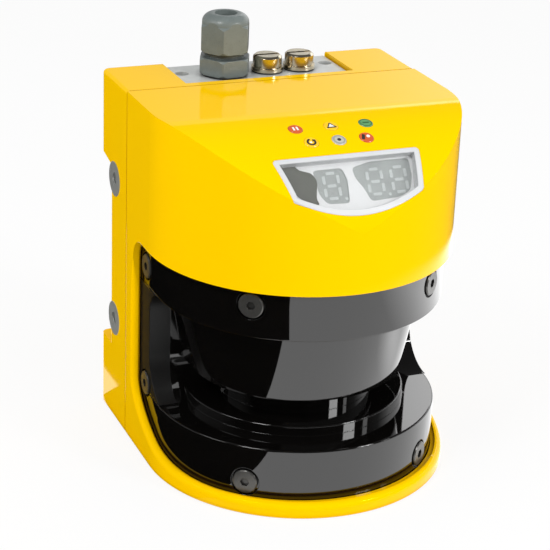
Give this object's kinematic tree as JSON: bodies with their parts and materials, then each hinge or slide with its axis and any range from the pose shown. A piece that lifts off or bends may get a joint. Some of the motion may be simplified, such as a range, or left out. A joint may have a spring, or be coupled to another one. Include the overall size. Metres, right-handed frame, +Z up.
{
  "type": "safety laser scanner",
  "caption": "Yellow safety laser scanner: rounded hood with a sloping display, glossy black waisted optics cover, base rim, flat back and a cable gland on top.",
  "frame": {"origin": "centre of the footprint at the underside of the base", "axes": "+Z up along the mirror's spin axis, front with the display and the optics cover towards -Y, flat mounting back towards +Y"},
  "size_m": [0.155, 0.16, 0.2146],
  "materials": {
    "yellow_housing": "gloss",
    "black_cover": "gloss",
    "black_screws": "satin",
    "seal_rubber": "matte",
    "screw_steel": "satin",
    "insert_steel": "satin",
    "frame_aluminium": "matte",
    "motor_aluminium": "satin",
    "bearing_steel": "gloss",
    "stator_steel": "matte",
    "coil_copper": "gloss",
    "magnet_dark": "matte",
    "encoder_steel": "satin",
    "sensor_black": "matte",
    "carrier_black": "matte",
    "mirror_silver": "gloss",
    "lens_glass": "gloss",
    "laser_brass": "satin",
    "board_green": "satin",
    "bezel_white": "satin",
    "window_clear": "gloss",
    "digit_grey": "satin",
    "plug_grey": "matte",
    "pin_gold": "gloss",
    "gland_grey": "satin",
    "plug_brass": "satin",
    "lamp_red": "gloss",
    "lamp_yellow": "gloss",
    "lamp_green": "gloss",
    "lamp_white": "gloss"
  },
  "bodies": {
    "scanner": {"front_housing": "yellow_housing", "rear_housing": "yellow_housing", "housing_seal": "seal_rubber", "housing_screws": "screw_steel", "side_inserts": "insert_steel", "optics_cover": "black_cover", "cover_screws": "black_screws", "cover_upper_seal": "seal_rubber", "cover_lower_seal": "seal_rubber", "scan_frame": "frame_aluminium", "frame_screws": "screw_steel", "motor_base": "motor_aluminium", "motor_bearings": "bearing_steel", "motor_stator": "stator_steel", "motor_coils": "coil_copper", "encoder_sensor": "sensor_black", "receiver_lens": "lens_glass", "lens_ring": "carrier_black", "laser_spider": "motor_aluminium", "laser_module": "laser_brass", "collimator_lens": "lens_glass", "laser_board": "board_green", "receiver_tube": "carrier_black", "receiver_board": "board_green", "photodiode": "insert_steel", "receiver_bracket": "frame_aluminium", "sensor_board": "board_green", "sensor_posts": "sensor_black", "dirt_sensors": "sensor_black", "display_bezel": "bezel_white", "display_window": "window_clear", "display_board": "board_green", "display_digits": "digit_grey", "system_plug": "plug_grey", "plug_seal": "seal_rubber", "plug_screws": "screw_steel", "plug_header": "sensor_black", "plug_pins": "pin_gold", "plug_socket": "sensor_black", "interface_board": "board_green", "interface_posts": "pin_gold", "gland_body": "gland_grey", "gland_washer": "seal_rubber", "gland_seal": "seal_rubber", "gland_nut": "gland_grey", "blanking_plugs": "plug_brass", "blanking_seals": "seal_rubber", "main_board": "board_green", "board_standoffs": "pin_gold", "board_chips": "sensor_black", "lamps_red": "lamp_red", "lamps_yellow": "lamp_yellow", "lamp_green": "lamp_green", "lamp_white": "lamp_white"},
    "mirror_unit": {"motor_shaft": "bearing_steel", "rotor_cup": "motor_aluminium", "rotor_magnet": "magnet_dark", "encoder_disc": "encoder_steel", "mirror_carrier": "carrier_black", "mirror": "mirror_silver"}
  },
  "joints": [
    {"name": "mirror_spin", "type": "hinge", "parent": "scanner", "child": "mirror_unit", "pos_m": [0, 0, 0.063], "axis": [0, 0, 1], "continuous": true}
  ]
}
